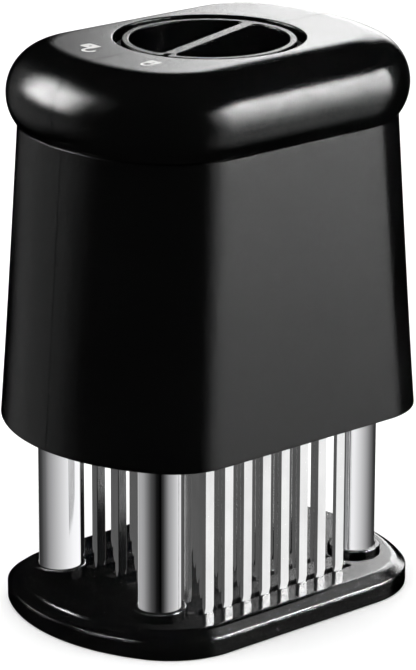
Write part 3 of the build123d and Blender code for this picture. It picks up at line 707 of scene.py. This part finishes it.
def turn_knob(material):
    """Lock knob: two finger wells with a rib between them, a ring round them and a notch."""
    low, top = knob_low.z, knob_top
    wall = knob_radius - knob_ring
    floor = top - knob_well
    under_floor = floor - knob_floor
    build = bmesh.new()
    profile = [(knob_radius - along, top - out) for along, out in round_steps(knob_round)]
    profile += [(knob_radius, low), (wall, low), (wall, under_floor), (knob_hub, under_floor),
                (knob_hub, low), (spindle_radius, low), (spindle_radius, spindle_top)]
    rows = lathe(build, profile, steps=160)
    fill_between(build, [rows[-1]])
    tops = [rows[0]]
    for side in (0, 1):
        rim = [well_loop(side, -along, top - out) for along, out in round_steps(knob_round)]
        foot = [well_loop(side, along, floor + out)
                for along, out in reversed(round_steps(knob_well_foot, 6))]
        rows = bridge(build, rim + foot)
        tops.append(rows[0])
        fill_between(build, [rows[-1]])
    fill_between(build, tops)
    piece = mesh_piece("turn_knob", build, material)
    cutter = pointer_cutter(material)
    cut = piece.modifiers.new("pointer", "BOOLEAN")
    cut.operation = "DIFFERENCE"
    cut.solver = "EXACT"
    cut.object = cutter
    baked(piece)
    bpy.data.objects.remove(cutter)
    return shaded(piece)


# --- Padlock marks --------------------------------------------------------------------------------
mark_stroke = 0.9 * MM
mark_body_width = 4.6 * MM
mark_body_height = 3.3 * MM
mark_corner = 0.5 * MM
mark_keyhole = 0.45 * MM
mark_shackle = 1.6 * MM
mark_leg = 1.2 * MM
mark_foot_inset = 0.8 * MM
mark_lift = 0.6 * MM
mark_relief = 0.03 * MM
mark_sunk = 0.2 * MM


def shackle_outline(foot_x, leg_start, free_leg_start):
    """Bent bar: up the fixed leg at foot_x, over the arch towards +X, down the other leg."""
    rise = mark_body_height / 2 + mark_leg
    half = mark_stroke / 2
    middle = foot_x + mark_shackle
    outer = arc_points((middle, rise), mark_shackle + half, pi, 0.0, 16)
    inner = arc_points((middle, rise), mark_shackle - half, 0.0, pi, 16)
    points = [(middle - mark_shackle - half, leg_start), (middle - mark_shackle - half, rise)]
    points += outer
    points += [(middle + mark_shackle + half, free_leg_start),
               (middle + mark_shackle - half, free_leg_start),
               (middle + mark_shackle - half, rise)]
    points += inner
    points.append((middle - mark_shackle + half, leg_start))
    return points


def padlock(name, centre, turn, size, is_open, material):
    """Printed padlock whose shackle points to -X; an open one stands beside its body."""
    body_top = mark_body_height / 2
    if is_open:
        foot = -mark_body_width / 2 + mark_foot_inset
        shackle = shackle_outline(foot - 2 * mark_shackle, body_top + mark_lift, body_top)
    else:
        shackle = shackle_outline(-mark_shackle, body_top, body_top)
    body = [Vector((p.x, p.y)) for p in
            rounded_slot(mark_body_width / 2, mark_body_height / 2, 0.0, 0.0, 0.0, mark_corner)]
    keyhole = circle((0.0, 0.0), mark_keyhole, 0.0, 16)
    place = Matrix.Translation(centre) @ Matrix.Rotation(turn + pi / 2, 4, "Z")
    place = place @ Matrix.Diagonal((size, size, 1.0, 1.0))
    build = bmesh.new()
    for loops in ([body, keyhole], [shackle]):
        capped(build, [[[place @ Vector((p[0], p[1], height)) for p in loop]
                        for height in (mark_relief, -mark_sunk)] for loop in loops])
    return shaded(mesh_piece(name, build, material))


# --- Finishes -------------------------------------------------------------------------------------
# Most of a noise pattern lies between these two values.
NOISE_SPAN = (0.3, 0.7)


def linear(colour):
    """Linear RGBA of an sRGB hex colour."""
    parts = [int(colour[i:i + 2], 16) / 255 for i in (1, 3, 5)]
    return tuple(c / 12.92 if c <= 0.04045 else ((c + 0.055) / 1.055) ** 2.4 for c in parts) + (1.0,)


def new_tree(name):
    material = bpy.data.materials.new(name)
    material.use_nodes = True
    material.node_tree.nodes.clear()
    return material, material.node_tree


def axes(tree):
    """X, Y and Z of the place on a piece."""
    place = add(tree, "ShaderNodeTexCoord").outputs["Object"]
    return add(tree, "ShaderNodeSeparateXYZ", {0: place}).outputs


def noise(tree, size, detail=2.0, roughness=0.5):
    """Soft noise on a piece, whose lumps have the given size in metres along X, Y and Z."""
    place = add(tree, "ShaderNodeTexCoord").outputs["Object"]
    shares = [1.0 / length for length in size]
    scaled = add(tree, "ShaderNodeMapping", {"Vector": place, "Scale": shares}).outputs["Vector"]
    return add(tree, "ShaderNodeTexNoise", {"Vector": scaled, "Scale": 1.0, "Detail": detail,
                                            "Roughness": roughness}).outputs[0]


def two_tone(tree, pattern, dark, light):
    """Colour that drifts with a pattern from one shade to the other."""
    share = add(tree, "ShaderNodeMapRange", {"Value": pattern, "From Min": NOISE_SPAN[0],
                                             "From Max": NOISE_SPAN[1]})
    return add(tree, "ShaderNodeMix", {"Factor": share.outputs["Result"], "A": linear(dark),
                                       "B": linear(light)}, data_type="RGBA").outputs[2]


def finished(tree, pattern, smooth, dull, values, relief=None, depth=0.0, span=NOISE_SPAN):
    """End a material: one pattern sets its roughness, another its relief, depth metres high."""
    rough = add(tree, "ShaderNodeMapRange", {"Value": pattern, "From Min": span[0],
                                             "From Max": span[1], "To Min": smooth,
                                             "To Max": dull})
    values = {**values, "Roughness": rough.outputs["Result"]}
    if relief is not None:
        bump = add(tree, "ShaderNodeBump", {"Height": relief, "Strength": 1.0, "Distance": depth})
        values["Normal"] = bump.outputs["Normal"]
    shader = add(tree, "ShaderNodeBsdfPrincipled", values)
    add(tree, "ShaderNodeOutputMaterial", {"Surface": shader.outputs["BSDF"]})


def moulded_abs(name, smooth, dull, wave_depth):
    """Black ABS from a polished mould: deep gloss, long soft waves and faint handling smudges."""
    material, tree = new_tree(name)
    smudges = noise(tree, (14 * MM,) * 3, 4.0, 0.6)
    waves = noise(tree, (9 * MM,) * 3, 1.0)
    finished(tree, smudges, smooth, dull, {"Base Color": linear("#040404"), "IOR": 1.54},
             waves, wave_depth)
    return material


def grained_abs(name):
    """Black ABS knob: the ring and rib are spark eroded, a fine even grain; the wells are glossy."""
    material, tree = new_tree(name)
    top = add(tree, "ShaderNodeMapRange", {"Value": axes(tree)["Z"],
                                           "From Min": knob_top - 0.05 * MM,
                                           "From Max": knob_top - 0.01 * MM}).outputs["Result"]
    # Real spark grain is near 0.05 mm; it is drawn at 0.35 mm so that it shows.
    grain = noise(tree, (0.35 * MM,) * 3, 3.0, 0.7)
    relief = add(tree, "ShaderNodeMath", {0: grain, 1: top}, operation="MULTIPLY")
    finished(tree, top, 0.16, 0.27, {"Base Color": linear("#040404"), "IOR": 1.54},
             relief.outputs[0], 0.03 * MM, (0.0, 1.0))
    return material


def inner_nylon(name):
    """Glass-filled nylon of the hidden frame: dull black with a grey flow mottle."""
    material, tree = new_tree(name)
    mottle = noise(tree, (3 * MM, 3 * MM, 1.2 * MM), 5.0, 0.65)
    fibres = noise(tree, (0.4 * MM,) * 3, 2.0)
    tint = two_tone(tree, mottle, "#1b1b1c", "#29292a")
    finished(tree, mottle, 0.5, 0.66, {"Base Color": tint, "IOR": 1.53}, fibres, 0.01 * MM)
    return material


def natural_acetal(name):
    """Turned natural acetal: waxy off-white with fine lathe rings along its length."""
    material, tree = new_tree(name)
    rings = noise(tree, (40 * MM, 40 * MM, 0.3 * MM), 1.0)
    cloud = noise(tree, (6 * MM,) * 3, 3.0)
    tint = two_tone(tree, cloud, "#dcd8cd", "#e6e3da")
    glow_depth = (2.0 * MM, 2.0 * MM, 1.5 * MM)
    finished(tree, cloud, 0.34, 0.44, {"Base Color": tint, "IOR": 1.48, "Subsurface Weight": 0.08,
                                       "Subsurface Radius": glow_depth}, rings, 0.004 * MM)
    return material


def polished_chrome(name):
    """Chrome-plated tube, polished lengthwise: mirror bright with hair-fine upright streaks."""
    material, tree = new_tree(name)
    streaks = noise(tree, (0.5 * MM, 0.5 * MM, 60 * MM), 3.0, 0.6)
    finished(tree, streaks, 0.03, 0.07, {"Base Color": linear("#e8e8ea"), "Metallic": 1.0},
             streaks, 0.0006 * MM)
    return material


def ground_steel(name, colour, line, smooth, dull):
    """Steel with a bright, faintly uneven face and upright grinding lines of the given width."""
    material, tree = new_tree(name)
    lines = noise(tree, (line, line, 40 * MM), 4.0, 0.65)
    tarnish = noise(tree, (12 * MM, 12 * MM, 20 * MM), 3.0)
    tint = two_tone(tree, tarnish, colour, "#f3f3f3")
    finished(tree, lines, smooth, dull, {"Base Color": tint, "Metallic": 1.0}, lines, 0.002 * MM)
    return material


def moulded_rubber(name):
    """Brake pads: dull black rubber with a fine sandy skin."""
    material, tree = new_tree(name)
    skin = noise(tree, (0.3 * MM,) * 3, 4.0, 0.7)
    finished(tree, skin, 0.7, 0.85, {"Base Color": linear("#141414"), "IOR": 1.5},
             skin, 0.02 * MM)
    return material


def pad_print(name):
    """Pale grey printing ink: satin, with the slightly uneven cover of a silicone pad."""
    material, tree = new_tree(name)
    cover = noise(tree, (0.4 * MM,) * 3, 3.0)
    tint = two_tone(tree, cover, "#8f8f8e", "#a6a6a4")
    finished(tree, cover, 0.42, 0.55, {"Base Color": tint, "IOR": 1.5})
    return material


finishes = {
    "housing_black": moulded_abs("moulded_abs_housing", 0.145, 0.16, 0.002 * MM),
    "base_black": moulded_abs("polished_abs_base", 0.11, 0.14, 0.0008 * MM),
    "knob_black": grained_abs("spark_eroded_abs_knob"),
    "inner_plastic": inner_nylon("glass_filled_nylon"),
    "bush_plastic": natural_acetal("natural_acetal"),
    "post_chrome": polished_chrome("polished_chrome_plate"),
    "blade_steel": ground_steel("ground_stainless_blades", "#e2e2e2", 0.3 * MM, 0.1, 0.2),
    "fastener_steel": ground_steel("stainless_fasteners", "#b9b8b5", 0.4 * MM, 0.25, 0.4),
    "rod_steel": ground_steel("turned_bright_steel", "#c4c3c0", 0.3 * MM, 0.2, 0.3),
    "spring_steel": ground_steel("drawn_spring_wire", "#a9a8a6", 0.2 * MM, 0.28, 0.42),
    "brake_rubber": moulded_rubber("moulded_rubber_pads"),
    "mark_paint": pad_print("pad_printed_ink"),
}


# --- The object -----------------------------------------------------------------------------------
for subpart in frame["record"]["subparts"]:
    for slot in frame["nodes"][subpart["node"]].material_slots:
        slot.material = finishes[subpart["material_slot"]]


def fit(piece, body, slot, *nodes):
    """Let a new piece ride on its body and stand for CAD nodes; the slot it is given is not used."""
    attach(piece, body)
    if nodes:
        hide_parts(*nodes)
    return piece


plastic = finishes["housing_black"]
shells = [
    fit(cap_half("cap_rear", 1, plastic), "housing", "housing_black", "cap_rear_half"),
    fit(cap_half("cap_front", -1, plastic), "housing", "housing_black", "cap_front_half"),
    fit(skirt_half("skirt_rear", 1, plastic), "housing", "housing_black", "skirt_rear_half"),
    fit(skirt_half("skirt_front", -1, plastic), "housing", "housing_black", "skirt_front_half"),
]
base_plastic = finishes["base_black"]
base_pieces = [
    fit(lower_plate(base_plastic), "base", "base_black", "base_lower_plate"),
    fit(upper_plate(base_plastic), "base", "base_black", "base_upper_plate"),
    fit(collars(base_plastic), "base", "base_black", "post_collars"),
]

posts = {}
for depth, y in (("front", -post_y), ("rear", post_y)):
    for side, x in (("left", -post_x), ("right", post_x)):
        place = depth + "_" + side
        post = guide_post("post_" + place, (x, y), finishes["post_chrome"])
        posts[place] = fit(post, "base", "post_chrome", "guide_post_" + place)
        node = "return_spring_" + place
        spring = return_spring("coil_" + place, node, finishes["spring_steel"])
        fit(spring, "base", "spring_steel", node)

combs = []
for name in comb_names:
    low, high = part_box(name)
    piece = comb_blades(name.replace("comb", "row"), (low.y + high.y) / 2, finishes["blade_steel"])
    combs.append(fit(piece, "housing", "blade_steel", name))
fit(spines(finishes["blade_steel"]), "housing", "blade_steel")
fit(turn_knob(finishes["knob_black"]), "lock_knob", "knob_black", "lock_knob")
ink = finishes["mark_paint"]
open_place = Vector((-28.7 * MM, 11.1 * MM, cap_top))
closed_place = Vector((-28.0 * MM, -11.7 * MM, cap_top))
fit(padlock("padlock_open", open_place, 0.0, 0.98, True, ink), "housing", "mark_paint")
closed_mark = padlock("padlock_closed", closed_place, radians(6.0), 0.8, False, ink)
fit(closed_mark, "housing", "mark_paint")

# The housing's screens also reach the knob, the marks and all that is inside.
meshes = [item for item in bpy.context.scene.objects if item.type == "MESH"]
lit_apart = [*posts.values(), *combs, *base_pieces]
housing_pieces = [item for item in meshes if item not in lit_apart]
# Mirror images of the small dark pieces would blot the metal, so only these are mirrored.
mirrored = [*combs[:1], *shells]
for item in meshes:
    if item not in mirrored:
        item.visible_glossy = False


# --- Floor, light and camera ----------------------------------------------------------------------
def pale_floor():
    """Smooth white table top with a barely uneven matt coat."""
    material, tree = new_tree("white_table")
    coat = noise(tree, (60 * MM,) * 3, 2.0)
    finished(tree, coat, 0.7, 0.8, {"Base Color": linear("#f4f4f4")})
    build = bmesh.new()
    bmesh.ops.create_circle(build, cap_ends=True, segments=96, radius=3.0)
    floor = mesh_piece("floor", build, material)
    floor.data.transform(Matrix.Translation((0.0, 0.0, -0.02 * MM)))
    floor.visible_glossy = False


def see_through(material, tree, strength):
    """A glow that hides nothing behind it and is found by mirror rays alone."""
    material.cycles.emission_sampling = "NONE"
    glow = add(tree, "ShaderNodeEmission", {"Strength": strength})
    clear = add(tree, "ShaderNodeBsdfTransparent")
    both = add(tree, "ShaderNodeAddShader", {0: glow.outputs[0], 1: clear.outputs[0]})
    add(tree, "ShaderNodeOutputMaterial", {"Surface": both.outputs[0]})


def only_on(screen, pieces):
    """Show a glowing screen to these pieces alone."""
    group = bpy.data.collections.new(screen.name)
    for piece in pieces:
        group.objects.link(piece)
    screen.light_linking.receiver_collection = group
    screen.visible_camera = False
    screen.visible_shadow = False


def softbox(name, pieces, azimuth, elevation, width, height, radiance, fade=(0.3,) * 4):
    """Glowing screen a metre from the object; fade is how much of it dims towards each edge.

    Azimuth 0 is the front and 90 the +X side; fade is (left, right, bottom, top) as the object
    sees it.
    """
    material, tree = new_tree(name)
    parts = axes(tree)
    strength = radiance
    for part, edge, share in ((parts["X"], -1, fade[0]), (parts["X"], 1, fade[1]),
                              (parts["Y"], -1, fade[2]), (parts["Y"], 1, fade[3])):
        rise = add(tree, "ShaderNodeMapRange", {"Value": part, "From Min": edge,
                                                "From Max": edge * (1 - 2 * share)},
                   interpolation_type="SMOOTHSTEP")
        soft = add(tree, "ShaderNodeMath", {0: rise.outputs["Result"], 1: 2.0}, operation="POWER")
        product = add(tree, "ShaderNodeMath", {0: soft.outputs[0], 1: strength},
                      operation="MULTIPLY")
        strength = product.outputs[0]
    see_through(material, tree, strength)

    turn, rise = radians(azimuth), radians(elevation)
    away = Vector((sin(turn) * cos(rise), -cos(turn) * cos(rise), sin(rise)))
    middle = Vector((0.0, 0.0, 70 * MM))
    build = bmesh.new()
    bmesh.ops.create_grid(build, x_segments=1, y_segments=1, size=1.0)
    screen = mesh_piece(name, build, material)
    aim = (-away).to_track_quat("Z", "Y").to_matrix().to_4x4()
    size = Matrix.Diagonal((width / 2, height / 2, 1.0, 1.0))
    screen.matrix_world = Matrix.Translation(middle + away) @ aim @ size
    only_on(screen, pieces)


def surround(name, pieces, radius, lights):
    """Round screen about the object; lights lists its (azimuth, radiance) steps."""
    material, tree = new_tree(name)
    parts = axes(tree)
    front = add(tree, "ShaderNodeMath", {0: parts["Y"], 1: -1.0}, operation="MULTIPLY")
    turn = add(tree, "ShaderNodeMath", {0: parts["X"], 1: front.outputs[0]}, operation="ARCTAN2")
    share = add(tree, "ShaderNodeMapRange", {"Value": turn.outputs[0], "From Min": -pi,
                                             "From Max": pi})
    ramp = add(tree, "ShaderNodeValToRGB", {0: share.outputs["Result"]})
    brightest = max(radiance for _, radiance in lights)
    stops = ramp.color_ramp.elements
    for azimuth, radiance in lights:
        if azimuth == -180:
            stop = stops[0]
        elif azimuth == 180:
            stop = stops[-1]
        else:
            stop = stops.new(azimuth / 360 + 0.5)
        stop.color = (radiance / brightest,) * 3 + (1.0,)
    strength = add(tree, "ShaderNodeMath", {0: ramp.outputs[0], 1: brightest},
                   operation="MULTIPLY")
    see_through(material, tree, strength.outputs[0])
    build = bmesh.new()
    lathe(build, [(radius, -radius), (radius, radius)], steps=96)
    only_on(mesh_piece(name, build, material), pieces)


def sky_light(height, width, power):
    """Large lamp overhead that lights the floor and leaves no mirror image in the gloss."""
    lamp = bpy.data.lights.new("sky_light", "AREA")
    lamp.size = width
    lamp.energy = power
    holder = bpy.data.objects.new("sky_light", lamp)
    holder.location = (0.0, 0.0, height)
    holder.visible_camera = False
    holder.visible_glossy = False
    bpy.context.scene.collection.objects.link(holder)


def white_surround():
    """White all round for the eye and the floor, dark for what the gloss mirrors."""
    world = bpy.data.worlds.new("white_surround")
    world.use_nodes = True
    tree = world.node_tree
    tree.nodes.clear()
    glossy = add(tree, "ShaderNodeLightPath").outputs["Is Glossy Ray"]
    strength = add(tree, "ShaderNodeMath", {0: 1.0, 1: glossy}, operation="SUBTRACT")
    light = add(tree, "ShaderNodeBackground", {"Color": (1.0,) * 4,
                                               "Strength": strength.outputs[0]})
    add(tree, "ShaderNodeOutputWorld", {"Surface": light.outputs[0]})
    bpy.context.scene.world = world


def photographer():
    """Camera with a long lens, a little above the object and in front of its left corner."""
    place = Vector((-595.338, -676.240, 356.897)) * MM
    target = Vector((-2.394, -2.564, 69.068)) * MM
    camera = bpy.data.cameras.new("camera")
    camera.lens = 201.8
    holder = bpy.data.objects.new("camera", camera)
    aim = (place - target).to_track_quat("Z", "Y").to_matrix().to_4x4()
    tilt = Matrix.Rotation(radians(0.166), 4, "Z")
    holder.matrix_world = Matrix.Translation(place) @ aim @ tilt
    bpy.context.scene.collection.objects.link(holder)
    bpy.context.scene.camera = holder


pale_floor()
white_surround()
sky_light(2.0, 3.0, 50.0)
softbox("rear_left_screen", housing_pieces, -144.0, 21.5, 1.12, 1.0, 11.5,
        (0.38, 0.42, 0.36, 0.40))
softbox("rear_left_glow", housing_pieces, -152.0, 4.0, 2.2, 1.8, 0.2, (0.4, 0.4, 0.3, 0.4))
softbox("right_screen", housing_pieces, 31.5, 4.0, 1.59, 1.2, 12.0, (0.13, 0.60, 0.84, 0.09))
softbox("right_glow", housing_pieces, 32.0, -20.0, 1.6, 1.2, 0.6, (0.35, 0.45, 0.4, 0.4))
softbox("rear_screen", housing_pieces, 132.5, 11.0, 0.56, 0.80, 2.9, (0.42, 0.2, 0.5, 0.17))
softbox("base_rear_screen", base_pieces, 116.0, 20.0, 0.92, 0.8, 5.5)
softbox("base_left_screen", base_pieces, -147.0, 5.0, 0.9, 0.6, 3.6, (0.37, 0.37, 0.40, 0.40))
softbox("base_line_screen", base_pieces, 46.0, 31.0, 1.45, 0.4, 52.0, (0.3, 0.3, 0.2, 0.2))
softbox("base_bevel_screen", base_pieces, 78.0, 48.0, 1.3, 0.8, 1.2, (0.3, 0.3, 0.4, 0.4))
softbox("base_side_screen", base_pieces, 40.0, -20.0, 1.4, 0.7, 0.2)
softbox("base_crease_screen", base_pieces, 160.0, 46.0, 0.7, 0.44, 13.0)
softbox("base_left_line_screen", base_pieces, -100.0, 22.0, 0.9, 0.5, 12.0)
softbox("collar_screen", base_pieces[-1:], -41.0, 45.0, 1.4, 0.5, 6.0)
softbox("front_row_glow", combs[:1], 40.0, 21.0, 0.7, 0.3, 7.0)
surround("rear_left_post_screen", [posts["rear_left"]], 0.50,
         [(-180, 0.02), (-150, 0.06), (-120, 0.17), (-100, 0.34), (-66, 0.55), (0, 0.96),
          (40, 1.12), (100, 1.2), (140, 0.6), (180, 0.02)])
surround("front_left_post_screen", [posts["front_left"], posts["rear_right"]], 0.51,
         [(-180, 0.44), (-153, 0.47), (-128, 0.39), (-108, 0.24), (-85, 0.09), (-56, 0.01),
          (-36, 0.0), (-22, 0.05), (-8, 0.18), (8, 0.38), (47, 0.65), (72, 0.82), (113, 0.92),
          (180, 0.44)])
surround("front_right_post_screen", [posts["front_right"]], 0.52,
         [(-180, 0.0), (-96, 0.08), (-78, 0.66), (-60, 1.04), (-42, 1.03), (-8, 0.74),
          (28, 0.41), (50, 0.21), (80, 0.05), (180, 0.0)])
surround("front_row_screen", combs[:1], 0.53,
         [(-180, 0.1), (-95, 0.1), (-80, 1.0), (95, 1.0), (110, 0.12), (180, 0.1)])
surround("second_row_screen", combs[1:2], 0.54,
         [(-180, 0.1), (-110, 0.1), (0, 0.04), (41, 0.1), (80, 0.06), (110, 0.4), (180, 0.2)])
surround("rear_rows_screen", combs[2:], 0.55,
         [(-180, 0.1), (-110, 0.12), (-60, 0.0), (80, 0.01), (110, 0.4), (180, 0.2)])
photographer()
bpy.context.scene.view_settings.view_transform = "Standard"
